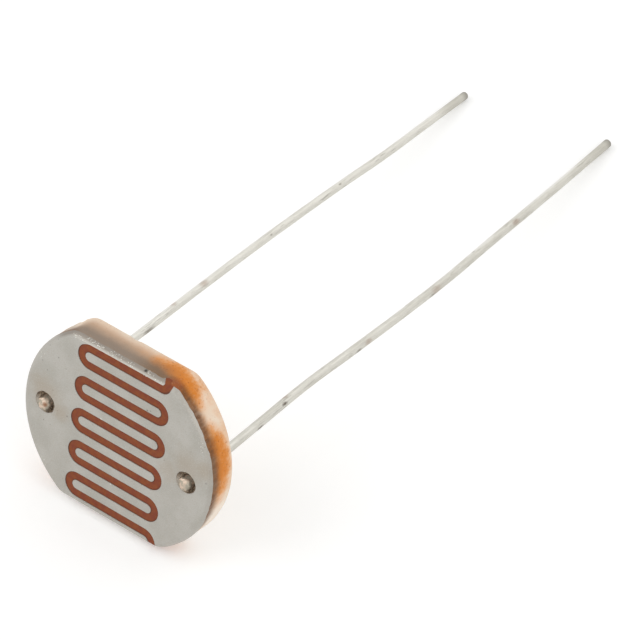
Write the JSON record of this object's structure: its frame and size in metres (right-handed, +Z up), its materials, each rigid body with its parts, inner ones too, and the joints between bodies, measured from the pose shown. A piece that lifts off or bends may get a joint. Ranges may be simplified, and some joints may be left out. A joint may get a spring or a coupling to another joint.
{
  "type": "photoresistor",
  "caption": "Light-dependent resistor: flat-sided ceramic disc with a serpentine photoconductive track between comb electrodes and straight wire leads, lying on its edge and lead tips.",
  "frame": {"origin": "bottom centre of the part's box as it lies on a table", "axes": "+X from the left lead to the right lead, +Y from the face back along the leads, +Z up from the table"},
  "size_m": [0.012, 0.0374, 0.0103],
  "materials": {
    "ceramic": "fired, matt",
    "photo_layer": "sintered, fine grained",
    "electrode_film": "satin evaporated film",
    "tinned_wire": "bright tin plate",
    "bond_paste": "cured conductive paste"
  },
  "bodies": {
    "root": {"ceramic_disc": "ceramic", "photoconductive_layer": "photo_layer", "left_electrode": "electrode_film", "right_electrode": "electrode_film", "left_lead": "tinned_wire", "right_lead": "tinned_wire", "left_lead_bond": "bond_paste", "right_lead_bond": "bond_paste"}
  },
  "joints": []
}
